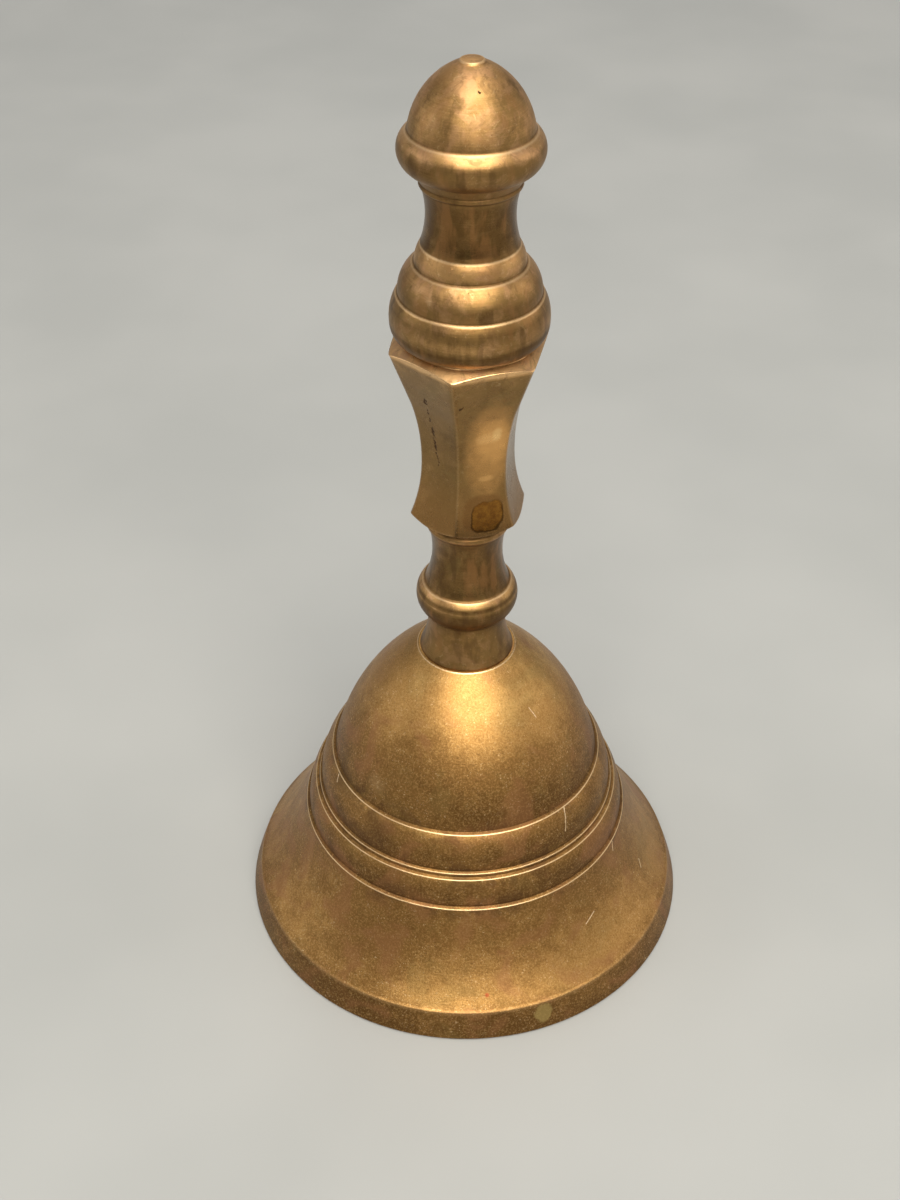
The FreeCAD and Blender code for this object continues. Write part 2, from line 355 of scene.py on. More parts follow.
def hex_angles(per_side):
    """Angles round a hexagon, closer together near its corners."""
    sector = math.pi / SIDES * np.sin(math.pi / 2 * np.linspace(-1, 1, per_side, endpoint=False))
    return np.concatenate([sector + k * TAU / SIDES for k in range(SIDES)])


def cone_radius(cone, height):
    (r0, z0), (r1, z1) = cone
    return r0 + (height - z0) * (r1 - r0) / (z1 - z0)


def grip_column(angle, dense_z, dense_a):
    """One column of the hexagonal grip between its two cones, as rows of radius, height, distance
    from an edge, distance from a groove, and 1 on a flat side."""
    factor, off_corner = hex_factor(angle)
    flat = dense_a * factor
    middle = len(dense_z) // 2
    start = dense_z[np.argmax(flat <= cone_radius(LOW_CONE, dense_z))]
    end = dense_z[middle + np.argmax(flat[middle:] >= cone_radius(HIGH_CONE, dense_z[middle:]))]
    steps = np.linspace(0, 1, FACE_ROWS)
    face_z = start + (end - start) * (0.5 - 0.5 * np.cos(math.pi * steps))
    face_r = np.interp(face_z, dense_z, dense_a) * factor
    foot, top = LOW_CONE[0][1], HIGH_CONE[1][1]
    low_z = np.linspace(foot, start, CONE_ROWS + 1)[1:-1]
    high_z = np.linspace(end, top, CONE_ROWS + 1)[1:-1]
    to_arris = np.minimum(abs(face_z - start), abs(face_z - end))
    rows = [
        (cone_radius(LOW_CONE, low_z), face_r, cone_radius(HIGH_CONE, high_z)),
        (low_z, face_z, high_z),
        ((start - low_z) * 1.3, np.minimum(to_arris, off_corner * face_r), (high_z - end) * 1.6),
        (low_z - foot, np.full(FACE_ROWS, FAR), (top - high_z) * 1.6 + 0.35),
        (np.zeros(len(low_z)), np.ones(FACE_ROWS), np.zeros(len(high_z))),
    ]
    return np.array([np.concatenate(row) for row in rows])


def make_handle():
    low, _, low_near = soft_outline(GRIP_LOW, 0.22)
    high, _, high_near = soft_outline(GRIP_HIGH, 0.2)
    bore = np.array(GRIP_BORE)
    angles = hex_angles(56)
    columns = len(angles)
    dense_z = np.linspace(79.5, 110.8, 1800)
    dense_a = np.interp(dense_z, *side_distance())
    grip = np.array([grip_column(angle, dense_z, dense_a) for angle in angles])

    def whole(below, row, above, within):
        return np.concatenate([spread(below, columns), grip[:, row], spread(above, columns),
                               spread(within, columns)], 1)

    radius = whole(low[:, 0], 0, high[:, 0], bore[:, 0])
    height = whole(low[:, 1], 1, high[:, 1], bore[:, 1])
    # true in the bore, at the tip and where the foot sits on the shell
    waver = wobble(angles, height.mean(0), 0.035, 11)
    waver[:, radius.max(0) < 3.0] = 0
    waver[:, height.mean(0) < 54.6] = 0
    run = distance_along(np.stack([radius.mean(0), height.mean(0)], 1))
    attributes = {
        "run": spread(run, columns),
        "edge": whole(low_near["edge"], 2, high_near["edge"], np.full(len(bore), FAR)),
        "groove": whole(low_near["groove"], 3, high_near["groove"], np.zeros(len(bore))),
        "side": whole(np.zeros(len(low)), 4, np.zeros(len(high)), np.zeros(len(bore))),
        "tarnish_and_painted_light": np.interp(height, *np.array(GRIP_TARNISH_AND_LIGHT).T),
    }
    return grid_solid("handle_casting", angles, radius - np.abs(waver), height, attributes, True)


# ---------------------------------------------------------------- node helpers
class Nodes:
    """A node tree, with one short call per node."""

    def __init__(self, tree):
        self.tree = tree
        tree.nodes.clear()

    def add(self, kind, inputs, **settings):
        """A node with its settings made and its inputs linked or set."""
        node = self.tree.nodes.new("ShaderNode" + kind)
        for name, value in settings.items():
            setattr(node, name, value)
        for label, value in inputs.items():
            socket = node.inputs[label]
            if isinstance(value, bpy.types.NodeSocket):
                self.tree.links.new(value, socket)
            else:
                socket.default_value = (*value, 1.0) if socket.type == "RGBA" else value
        return node

    def math(self, operation, a, b=0.0, clamp=False):
        return self.add("Math", {0: a, 1: b}, operation=operation, use_clamp=clamp).outputs[0]

    def plus(self, a, b):
        return self.math("ADD", a, b)

    def minus(self, a, b):
        return self.math("SUBTRACT", a, b)

    def times(self, a, b):
        return self.math("MULTIPLY", a, b)

    def most(self, a, b):
        return self.math("MAXIMUM", a, b)

    def clamped(self, value):
        return self.math("ADD", value, 0.0, clamp=True)

    def squared_length(self, x, y):
        return self.plus(self.times(x, x), self.times(y, y))

    def blend(self, parts):
        """A weighted sum of (value, weight) pairs."""
        total = self.times(*parts[0])
        for value, weight in parts[1:]:
            total = self.plus(total, self.times(value, weight))
        return total

    def scaled(self, vector, scale):
        return self.add("VectorMath", {0: vector, "Scale": scale}, operation="SCALE").outputs[0]

    def offset(self, a, b):
        return self.add("VectorMath", {0: a, 1: b}, operation="SUBTRACT").outputs[0]

    def dot(self, a, b):
        return self.add("VectorMath", {0: a, 1: b}, operation="DOT_PRODUCT").outputs["Value"]

    def distance(self, a, b=(0, 0, 0)):
        return self.add("VectorMath", {0: a, 1: b}, operation="DISTANCE").outputs["Value"]

    def split(self, vector):
        return self.add("SeparateXYZ", {0: vector}).outputs

    def join(self, x, y, z):
        return self.add("CombineXYZ", {0: x, 1: y, 2: z}).outputs[0]

    def ramp(self, value, low, high, to_low=0.0, to_high=1.0, smooth=True):
        limits = {"Value": value, "From Min": low, "From Max": high, "To Min": to_low, "To Max": to_high}
        curve = "SMOOTHSTEP" if smooth else "LINEAR"
        return self.add("MapRange", limits, interpolation_type=curve).outputs["Result"]

    def mix(self, factor, a, b):
        return self.add("Mix", {"Factor": factor, 6: a, 7: b}, data_type="RGBA").outputs[2]

    def tint(self, colour, tone, amount, strength):
        """The colour drawn towards tone, by amount times strength."""
        return self.mix(self.times(amount, strength), colour, tone)

    def palette(self, factor, stops, curve="EASE"):
        """A colour that runs from stop to stop, each (position, colour)."""
        node = self.add("ValToRGB", {0: factor})
        node.color_ramp.interpolation = curve
        elements = node.color_ramp.elements
        while len(elements) < len(stops):
            elements.new(0.5)
        for element, (position, colour) in zip(elements, stops):
            element.position = position
            element.color = (*colour, 1.0)
        return node.outputs[0]


class Surface(Nodes):
    """A material's nodes. place is the point being shaded, in mm."""

    def __init__(self, name):
        self.material = bpy.data.materials.new(name)
        self.material.use_nodes = True
        super().__init__(self.material.node_tree)
        self.place = self.scaled(self.add("TexCoord", {}).outputs["Object"], 1000.0)

    def noise(self, scale, detail=3.0, rough=0.55, place=None, distort=0.0):
        return self.add("TexNoise", {"Vector": place or self.place, "Scale": scale, "Detail": detail,
                                     "Roughness": rough, "Distortion": distort}).outputs[0]

    def cells(self, scale):
        """The distance to the nearest of many scattered points, and a random value for each."""
        node = self.add("TexVoronoi", {"Vector": self.place, "Scale": scale})
        return node.outputs["Distance"], self.split(node.outputs["Color"])[0]

    def attribute(self, name):
        return self.add("Attribute", {}, attribute_name=name).outputs["Fac"]

    def streaks(self, fine, slow, detail=2.0):
        """Marks that run round the axis, as a lathe tool leaves them."""
        x, y, _ = self.split(self.place)
        run = self.attribute("run")
        along = self.join(self.times(run, fine), self.times(x, slow), self.times(y, slow))
        return self.noise(1.0, detail, 0.6, along)

    def stroke(self, start, end, width, ragged=0.35):
        """1 on a thin line between two points in mm, 0 away from it."""
        start, end = Vector(start), Vector(end)
        along = end - start
        length = along.length
        offset = self.offset(self.place, tuple(start))
        reach = self.clamped(self.dot(offset, tuple(along / (length * length))))
        away = self.distance(offset, self.scaled(tuple(along), reach))
        rough = self.ramp(self.noise(2.2, 2.0), 0.3, 0.7, -ragged * width, ragged * width, False)
        return self.ramp(self.plus(away, rough), width, width * 0.35)

    def strokes(self, lines, ragged=0.35):
        """1 on any of the lines, each (start, end, width)."""
        total = None
        for start, end, width in lines:
            line = self.stroke(start, end, width, ragged)
            total = line if total is None else self.most(total, line)
        return total

    def shade(self, inputs):
        """Join the inputs to the surface, and the surface to the output."""
        self.add("OutputMaterial", {"Surface": self.add("BsdfPrincipled", inputs).outputs[0]})
        return self.material

    def finish(self, colour, rough, relief, strength, depth, metallic=1.0):
        """A metal from its colour, roughness and relief; depth is in metres."""
        bump = self.add("Bump", {"Height": relief, "Strength": strength, "Distance": depth})
        return self.shade({"Base Color": colour, "Metallic": metallic,
                           "Roughness": self.clamped(rough), "Normal": bump.outputs[0]})


def on_shell(azimuth, height):
    """A point on the shell's outside, in mm; azimuth in degrees from -Y towards +X."""
    points, _, _ = soft_outline(SHELL_OUTER, 0.32)
    order = np.argsort(points[:, 1])
    r = np.interp(height, points[order, 1], points[order, 0])
    a = math.radians(azimuth)
    return (r * math.sin(a), -r * math.cos(a), height)


# ---------------------------------------------------------------- the hidden fittings
def thread_wave(height, angle):
    """A V-thread's cross-section: 0 in the middle of each turn, and 1 between turns."""
    turn = height / THREAD_PITCH - angle / TAU
    return np.abs(2 * (turn - np.floor(turn)) - 1)


def turned_solid(name, stations, spacing, columns, thread=None):
    """A turned piece. thread is (low, high, depth): a helical groove between two heights."""
    points, run, near = soft_outline(stations, spacing)
    angles = np.linspace(0, TAU, columns, endpoint=False)
    radius, height = spread(points[:, 0], columns), spread(points[:, 1], columns)
    if thread:
        low, high, depth = thread
        fade = np.clip((height - low) / THREAD_PITCH, 0, 1) * np.clip((high - height) / THREAD_PITCH, 0, 1)
        cut = depth * thread_wave(height, angles[:, None]) * fade
        radius = np.where(radius > 1.5, radius - cut, radius)
    attributes = {"run": spread(run, columns), "edge": spread(near["edge"], columns),
                  "groove": spread(near["groove"], columns)}
    return grid_solid(name, angles, radius, height, attributes, False)


def wire_loop(name, path, across, radius, seam=None):
    """A closed loop of round wire along path, which lies in the plane square to across.
    seam is the path point where the wire's two ends meet, and it is pinched a little there."""
    path = np.array(path, float)
    across = np.array(across, float)
    ahead = np.roll(path, -1, 0) - np.roll(path, 1, 0)
    ahead /= np.linalg.norm(ahead, axis=1)[:, None]
    outward = np.cross(ahead, across)
    sides = 28
    verts, faces = [], []
    for index, centre in enumerate(path):
        thick = radius
        if seam is not None:
            gap = np.linalg.norm(centre - np.array(seam))
            thick = radius * (1 - 0.16 * math.exp(-(gap / 0.12) ** 2))
        for side in range(sides):
            turn = TAU * side / sides
            spot = centre + thick * (math.cos(turn) * outward[index] + math.sin(turn) * across)
            verts.append(tuple(spot * MM))
    for index in range(len(path)):
        here, there = index * sides, (index + 1) % len(path) * sides
        for side in range(sides):
            after = (side + 1) % sides
            faces.append((here + side, here + after, there + after, there + side))
    far = np.full(len(verts), FAR)
    return build_mesh(name, verts, faces, {"edge": far, "groove": far, "run": far * 0})


def joined(name, first, second):
    """One object holding both meshes."""
    with bpy.context.temp_override(active_object=first, object=first,
                                   selected_objects=[first, second],
                                   selected_editable_objects=[first, second]):
        bpy.ops.object.join()
    first.name = name
    return first


def wire_ring(name, height, radius, wire):
    """A ring of wire in the YZ plane."""
    path = [(0.0, radius * math.cos(t), height + radius * math.sin(t))
            for t in np.linspace(0, TAU, 96, endpoint=False)]
    return wire_loop(name, path, (1, 0, 0), wire)


def oval_path(bend, low, high):
    """An upright oval in the XZ plane, from the centres of its two bends."""
    upper = [(bend * math.cos(t), 0.0, high + bend * math.sin(t)) for t in np.linspace(0, math.pi, 36)]
    lower = [(bend * math.cos(t), 0.0, low + bend * math.sin(t))
             for t in np.linspace(math.pi, TAU, 36)]
    left = [(-bend, 0.0, z) for z in np.linspace(high, low, 26)[1:-1]]
    right = [(bend, 0.0, z) for z in np.linspace(low, high, 26)[1:-1]]
    return upper + left + lower + right


def make_eye_bolt():
    shank = turned_solid("eye_bolt_shank", EYE_BOLT, 0.1, 40, thread=(44.6, 68.2, 0.42))
    return joined("eye_bolt_threaded", shank, wire_ring("eye_bolt_ring", *BOLT_EYE))


def make_washer():
    return turned_solid("crown_washer_pressed", WASHER, 0.3, 96)


def make_lock_nut():
    """An M5 nut, chamfered at both faces, with its thread showing in the bore."""
    angles = hex_angles(16)
    bore_z = np.linspace(NUT_HIGH - 0.4, NUT_LOW + 0.4, 40)
    grid_r, grid_z, edge = [], [], []
    for angle in angles:
        factor, off_corner = hex_factor(angle)
        outer = min(NUT_APOTHEM * factor, NUT_CORNER)
        drop = (outer - NUT_FACE) * 0.5
        bore_r = 2.53 + 0.3 * thread_wave(bore_z, angle)
        grid_r.append([2.95, 2.9, *bore_r, 2.9, 2.95,
                       NUT_FACE, outer - 0.05, outer, outer, outer, outer - 0.05, NUT_FACE])
        grid_z.append([NUT_HIGH, NUT_HIGH - 0.08, *bore_z, NUT_LOW + 0.08, NUT_LOW,
                       NUT_LOW, NUT_LOW + drop * 0.9, NUT_LOW + 0.06 + drop, (NUT_LOW + NUT_HIGH) / 2,
                       NUT_HIGH - 0.06 - drop, NUT_HIGH - drop * 0.9, NUT_HIGH])
        edge.append([FAR] * (len(bore_z) + 5) + [0.1, 0.1, min(off_corner * 4, 1.0), 0.1, 0.1, 0.5])
    grid_r, grid_z, edge = np.array(grid_r), np.array(grid_z), np.array(edge)
    attributes = {"run": spread(np.arange(grid_r.shape[1]) * 0.1, len(angles)), "edge": edge,
                  "groove": np.full(edge.shape, FAR)}
    return grid_solid("lock_nut_m5", angles, grid_r, grid_z, attributes, True)


def make_link():
    return wire_loop("clapper_link_wire", oval_path(LINK_BEND, LINK_LOW, LINK_HIGH), (0, -1, 0), LINK_WIRE,
                     seam=(LINK_BEND, 0, (LINK_LOW + LINK_HIGH) / 2))


def make_rod():
    stem = turned_solid("clapper_rod_stem", ROD_STEM, 0.35, 32)
    return joined("clapper_rod_wire", stem, wire_ring("clapper_rod_loop", *ROD_LOOP))


def make_ball():
    return turned_solid("clapper_ball_turned", BALL, 0.3, 96)


# ---------------------------------------------------------------- where the marks are
# azimuth and height of both ends in degrees and mm, and half-width in mm
SCRATCHES = [
    (57.2, 32.3, 55.8, 30.6, 0.14),
    (55.8, 30.6, 54.4, 28.8, 0.13),
    (53.0, 12.2, 57.4, 13.1, 0.11),
    (58.1, 48.4, 59.7, 46.9, 0.10),
    (76.6, 20.0, 75.4, 18.4, 0.13),
    (87.3, 11.4, 85.7, 10.4, 0.13),
    (-55.8, 32.1, -54.2, 31.2, 0.16),
]
# azimuth, height, half-width in mm, strength and colour
SMUDGES = [
    (-24.4, 29.3, 5.0, 0.45, (0.12, 0.060, 0.028)),
    (-31.5, 36.5, 2.8, 0.35, (0.50, 0.31, 0.14)),
]
# azimuth and height
PALE_SPOT = (32.7, 3.1)
RED_SPECK = (18.3, 7.1)
# both ends and half-width
CASTING_FLAWS = [
    ((-4.95, -6.95, 103.4), (-4.85, -6.8, 102.9), 0.36),
    ((-4.75, -6.5, 101.6), (-4.45, -5.95, 99.4), 0.18),
    ((-4.2, -5.75, 98.0), (-3.95, -5.6, 96.4), 0.22),
    ((-3.9, -5.5, 95.8), (-3.6, -5.4, 94.2), 0.26),
    ((-3.6, -5.4, 93.6), (-3.3, -5.5, 91.6), 0.22),
    ((1.08, -9.52, 104.45), (0.95, -9.60, 104.35), 0.30),
    ((1.88, -4.74, 147.95), (1.95, -4.74, 147.9), 0.28),
]
# painted highlights on the flat side, standing in for reflections of lamp glare; each is place across the
# side and height, half-width and half-height in mm, strength, colour
SIDE_HIGHLIGHTS_PAINTED = [
    (1.0, 95.4, 4.2, 10.5, 0.7, (0.60, 0.315, 0.105)),
    (1.6, 96.8, 3.0, 4.8, 0.6, (0.84, 0.450, 0.150)),
    (0.9, 97.4, 2.2, 1.3, 0.35, (1.00, 0.60, 0.24)),
    (2.0, 98.0, 0.9, 1.5, 0.55, (1.00, 0.66, 0.28)),
    (0.7, 90.2, 1.7, 0.6, 0.28, (1.00, 0.58, 0.22)),
]
STAIN_X, STAIN_HALF_X = 4.2, 2.05
STAIN_Z, STAIN_HALF_Z = 84.0, 2.35
# heights of the glossier necks, of the duller finial's foot, and of the strikes at rest
NECKS = [(67.5, 78.0), (125.3, 133.5)]
FINIAL_FOOT = 141.0
WALL_STRIKES, BALL_STRIKES = 13.0, 8.0


# ---------------------------------------------------------------- aged satin brass
def shell_brass():
    s = Surface("aged_satin_brass")
    mottle = s.noise(0.42, 4.0, 0.65)
    grain = s.noise(2.9, 5.0, 0.78)
    fine = s.noise(9.0, 2.0, 0.6)
    blot = s.ramp(s.noise(2.6, 3.0, 0.7, distort=1.0), 0.33, 0.27)
    inside = s.attribute("inside")
    struck = strike_marks(s)
    scratches = s.strokes([(on_shell(*line[:2]), on_shell(*line[2:4]), line[4]) for line in SCRATCHES])
    bright, colour = shell_tones(s, mottle, grain, fine)
    colour = s.tint(colour, (0.085, 0.045, 0.022), blot, 0.55)
    colour = shell_dirt_and_shade(s, colour)
    colour, polish_and_highlight = shell_wear_and_highlight(s, colour)
    colour = s.tint(colour, (0.95, 0.72, 0.45), scratches, 0.85)
    colour = shell_spots(s, colour, mottle)
    colour = s.mix(inside, colour, cast_inside(s, struck))

    rough = s.ramp(bright, 0.0, 1.0, 0.50, 0.36, False)
    rough = s.plus(rough, s.times(s.minus(grain, 0.5), 0.16))
    rough = s.minus(rough, s.times(s.most(polish_and_highlight, scratches), 0.12))
    rough = s.plus(rough, s.times(inside, 0.12))
    rough = s.minus(rough, s.times(s.times(inside, struck), 0.2))

    sand = s.times(inside, s.noise(1.6, 4.0, 0.75))
    relief = s.blend([(grain, 0.7), (fine, 0.5), (s.streaks(4.0, 0.015, 3.0), 0.3),
                      (scratches, -0.6), (blot, -0.6), (sand, 3.0)])
    return s.finish(colour, rough, relief, 0.55, 0.00009)


def shell_tones(s, mottle, grain, fine):
    """How bright the brass is, and its colour with the pale and dark specks."""
    patch = s.noise(0.055, 3.0, 0.6, distort=0.6)
    clouds = s.blend([(patch, 0.5), (mottle, 0.35), (grain, 0.15)])
    lean = s.ramp(clouds, 0.36, 0.64, -0.22, 0.22, False)
    # bright follows the height table, so it carries painted highlight and shade as well as tarnish
    bright = s.clamped(s.minus(1.0, s.minus(s.attribute("tarnish_and_painted_light"), lean)))
    colour = s.palette(bright, [
        (0.0, (0.160, 0.080, 0.024)), (0.35, (0.28, 0.145, 0.043)),
        (0.65, (0.45, 0.245, 0.076)), (1.0, (0.67, 0.41, 0.135))])
    speck = s.ramp(grain, 0.51, 0.59)
    colour = s.tint(colour, (0.66, 0.40, 0.155), speck, 0.36)
    glint = s.times(s.ramp(s.noise(3.4, 2.0, 0.6), 0.64, 0.69), s.ramp(mottle, 0.44, 0.58))
    colour = s.tint(colour, (0.88, 0.66, 0.36), glint, 0.6)
    dark = s.most(s.ramp(fine, 0.46, 0.32), s.ramp(grain, 0.46, 0.36))
    colour = s.tint(colour, (0.115, 0.058, 0.019), dark, 0.42)
    worms = s.noise(1.9, 3.0, 0.7, distort=1.4)
    fleck = s.times(s.ramp(worms, 0.63, 0.69), s.ramp(mottle, 0.46, 0.58))
    return bright, s.tint(colour, (0.74, 0.55, 0.31), fleck, 0.45)


def shell_dirt_and_shade(s, colour):
    """Olive and reddish casts, as old lacquer leaves, brown grime by the steps, and painted shade in each
    step's corner.
    """
    near_step = s.attribute("groove")
    cast = s.noise(0.11, 2.0, 0.5, distort=1.0)
    colour = s.mix(s.ramp(cast, 0.54, 0.72, 0.0, 0.25), colour, (0.24, 0.165, 0.055))
    colour = s.mix(s.ramp(cast, 0.48, 0.32, 0.0, 0.45), colour, (0.36, 0.165, 0.070))
    grime = s.times(s.ramp(s.noise(0.17, 4.0, 0.65, distort=0.5), 0.50, 0.62),
                    s.ramp(near_step, 3.4, 0.6))
    colour = s.tint(colour, (0.11, 0.054, 0.024), grime, 0.55)
    # painted shade: a thin dark line in each step's corner
    return s.tint(colour, (0.11, 0.056, 0.020), s.ramp(near_step, 0.4, 0.0), 0.4)


def shell_wear_and_highlight(s, colour):
    """Edges rubbed bright, with a painted highlight on each arris as well; also returns where."""
    ragged = s.noise(1.3, 3.0, 0.7)
    wear_and_highlight = s.ramp(s.plus(s.attribute("edge"), s.times(ragged, 0.10)), 0.20, 0.08)
    rim = s.ramp(s.plus(s.attribute("rim"), s.times(ragged, 0.5)), 0.85, 0.3)
    polish_and_highlight = s.most(wear_and_highlight, s.times(rim, 0.09))
    return s.tint(colour, (0.93, 0.66, 0.36), polish_and_highlight, 0.78), polish_and_highlight


def shell_spots(s, colour, mottle):
    """The few marks with a place of their own: two smudges, a pale spot and a red speck."""
    for azimuth, height, half_width, strength, tone in SMUDGES:
        away = s.plus(s.distance(s.place, on_shell(azimuth, height)), s.times(mottle, 3.0))
        colour = s.tint(colour, tone, s.ramp(away, half_width + 1.5, 1.5), strength)
    away = s.plus(s.distance(s.place, on_shell(*PALE_SPOT)), s.times(mottle, 2.4))
    colour = s.tint(colour, (0.50, 0.37, 0.13), s.ramp(away, 3.0, 2.5), 0.55)
    red = s.ramp(s.distance(s.place, on_shell(*RED_SPECK)), 0.48, 0.2)
    return s.tint(colour, (0.45, 0.08, 0.035), red, 0.7)


def cast_inside(s, struck):
    """The rough, darker casting inside the shell."""
    colour = s.palette(s.ramp(s.noise(0.5, 5.0, 0.7), 0.3, 0.7), [
        (0.0, (0.12, 0.065, 0.026)), (0.5, (0.24, 0.14, 0.055)), (1.0, (0.36, 0.22, 0.09))])
    return s.tint(colour, (0.72, 0.48, 0.22), struck, 0.8)


def strike_marks(s):
    """Bright dents where the ball meets the wall, at both ends of its main swing."""
    _, y, z = s.split(s.place)
    along = s.math("DIVIDE", y, 4.5)
    up = s.math("DIVIDE", s.minus(z, WALL_STRIKES), 3.4)
    ragged = s.ramp(s.noise(0.9, 3.0, 0.7), 0.3, 0.7, -0.5, 0.5, False)
    return s.ramp(s.plus(s.squared_length(along, up), ragged), 1.6, 0.0)


# ---------------------------------------------------------------- satin handle brass
def handle_brass():
    s = Surface("satin_handle_brass")
    patch = s.noise(0.09, 3.0, 0.6, distort=0.5)
    mottle = s.noise(0.6, 4.0, 0.62)
    grain = s.noise(5.0, 4.0, 0.7)
    turning = s.streaks(5.0, 0.02, 4.0)
    side = s.attribute("side")
    near_step = s.ramp(s.attribute("groove"), 0.34, 0.0)
    smudge = s.ramp(s.noise(0.42, 5.0, 0.7, distort=0.9), 0.50, 0.33)
    speck = s.ramp(s.noise(2.3, 3.0, 0.75, distort=0.8), 0.34, 0.28)
    flaw = s.strokes(CASTING_FLAWS, 0.9)
    clouds = s.blend([(patch, 0.5), (mottle, 0.3), (grain, 0.20)])
    rings = s.times(s.minus(turning, 0.5), s.ramp(side, 0.0, 1.0, 0.22, 0.0))
    lean = s.plus(s.ramp(clouds, 0.36, 0.64, -0.17, 0.17, False), rings)
    # bright follows the height table, so it carries painted highlight and shade as well as tarnish
    bright = s.clamped(s.minus(1.0, s.minus(s.attribute("tarnish_and_painted_light"), lean)))

    colour = handle_tones(s, bright, side, smudge)
    colour = neck_blotches(s, colour, bright, side)
    # painted shade: darker at each step's corner and under the ball
    colour = s.tint(colour, (0.085, 0.044, 0.017), near_step, 0.5)
    # arrises brightened, partly as wear and partly as a painted highlight, more on the turned parts than
    # on the flat sides
    ragged = s.times(s.noise(1.6, 3.0, 0.7), 0.25)
    wear_and_highlight = s.ramp(s.plus(s.attribute("edge"), ragged), 0.42, 0.12)
    colour = s.mix(s.times(wear_and_highlight, s.ramp(side, 0.0, 1.0, 0.6, 0.12)), colour, (0.82, 0.56, 0.30))
    colour = s.tint(colour, (0.09, 0.045, 0.02), speck, 0.5)
    colour = s.tint(colour, (0.06, 0.027, 0.012), flaw, 0.85)
    # painted highlights on the flat side, then the amber stain over them
    colour = amber_stain(s, paint_side_highlights(s, colour))

    rough = handle_roughness(s, bright, side)
    rough = s.plus(rough, s.times(smudge, 0.06))
    rough = s.plus(rough, s.times(near_step, 0.1))
    rough = s.plus(rough, s.times(s.minus(grain, 0.5), 0.14))
    rough = s.plus(rough, s.times(flaw, 0.3))

    relief = s.blend([(s.times(turning, s.minus(1.0, side)), 0.8), (grain, 0.22), (mottle, 0.9),
                      (s.times(patch, side), 6.0), (s.most(speck, flaw), -1.5)])
    return s.finish(colour, rough, relief, 0.35, 0.00005)


def handle_tones(s, bright, side, smudge):
    """The brass's colour, with coppery, olive and pinkish casts and pale wiped streaks."""
    turned = s.minus(1.0, side)
    colour = s.palette(bright, [
        (0.0, (0.135, 0.072, 0.024)), (0.28, (0.25, 0.145, 0.050)),
        (0.6, (0.50, 0.288, 0.110)), (1.0, (0.80, 0.485, 0.215))])
    copper = s.noise(0.16, 3.0, 0.6, distort=0.8)
    warm = s.times(s.times(s.ramp(copper, 0.50, 0.70, 0.0, 0.5), turned), bright)
    colour = s.mix(warm, colour, (0.56, 0.285, 0.125))
    colour = s.mix(s.ramp(copper, 0.44, 0.28, 0.0, 0.28), colour, (0.26, 0.18, 0.065))
    pink = s.ramp(s.noise(0.23, 4.0, 0.65, distort=1.2), 0.47, 0.62)
    pink = s.times(pink, s.times(bright, s.ramp(side, 0.0, 1.0, 0.75, 0.2)))
    colour = s.mix(pink, colour, (0.60, 0.335, 0.175))
    colour = s.tint(colour, (0.22, 0.125, 0.048), smudge, 0.55)
    wipe = s.ramp(s.noise(0.75, 4.0, 0.7, distort=2.0), 0.585, 0.66)
    return s.mix(s.times(wipe, s.times(bright, 0.45)), colour, (0.86, 0.62, 0.33))


def neck_blotches(s, colour, bright, side):
    """Upright red and brown blotches where the turned parts are dull, and redder low sides."""
    x, y, z = s.split(s.place)
    upright = s.noise(1.0, 3.0, 0.6, s.join(s.times(x, 0.42), s.times(y, 0.42), s.times(z, 0.09)))
    dull = s.clamped(s.minus(1.0, s.most(side, bright)))
    colour = s.mix(s.times(s.ramp(upright, 0.50, 0.64), s.times(dull, 0.5)), colour,
                   (0.34, 0.165, 0.060))
    colour = s.mix(s.times(s.ramp(upright, 0.46, 0.36), s.times(dull, 0.6)), colour,
                   (0.105, 0.055, 0.022))
    ruddy = s.times(s.ramp(z, 92.0, 82.0), side)
    return s.tint(colour, (0.33, 0.165, 0.055), ruddy, 0.5)


def handle_roughness(s, bright, side):
    """Satin, glossier on the two necks and the flat sides, duller on the finial."""
    _, _, z = s.split(s.place)
    rough = s.ramp(bright, 0.0, 1.0, 0.43, 0.40, False)
    rough = s.plus(rough, s.ramp(z, FINIAL_FOOT, FINIAL_FOOT + 2.0, 0.0, 0.06))
    necks = s.most(*[s.times(s.ramp(z, low, low + 1.0), s.ramp(z, high, high - 1.0))
                     for low, high in NECKS])
    return s.minus(s.minus(rough, s.times(necks, 0.14)), s.times(side, 0.17))


def paint_side_highlights(s, colour):
    """Painted highlights on the flat side right of the front corner: broad glows, two small glints and a
    low band, standing in for reflections of lamp glare.
    """
    x, y, z = s.split(s.place)
    across = s.plus(s.times(x, 0.866), s.times(y, 0.5))
    front = s.times(s.ramp(x, 0.2, 0.9), s.ramp(y, -1.0, -2.0))
    front = s.times(front, s.attribute("side"))
    ragged = s.ramp(s.noise(0.35, 3.0, 0.6, distort=0.6), 0.3, 0.7, -0.22, 0.22, False)
    for centre, middle, wide, tall, amount, tone in SIDE_HIGHLIGHTS_PAINTED:
        du = s.math("DIVIDE", s.minus(across, centre), wide)
        dz = s.math("DIVIDE", s.minus(z, middle), tall)
        patch = s.ramp(s.plus(s.squared_length(du, dz), ragged), 1.1, 0.0)
        colour = s.tint(colour, tone, s.times(patch, front), amount)
    return colour


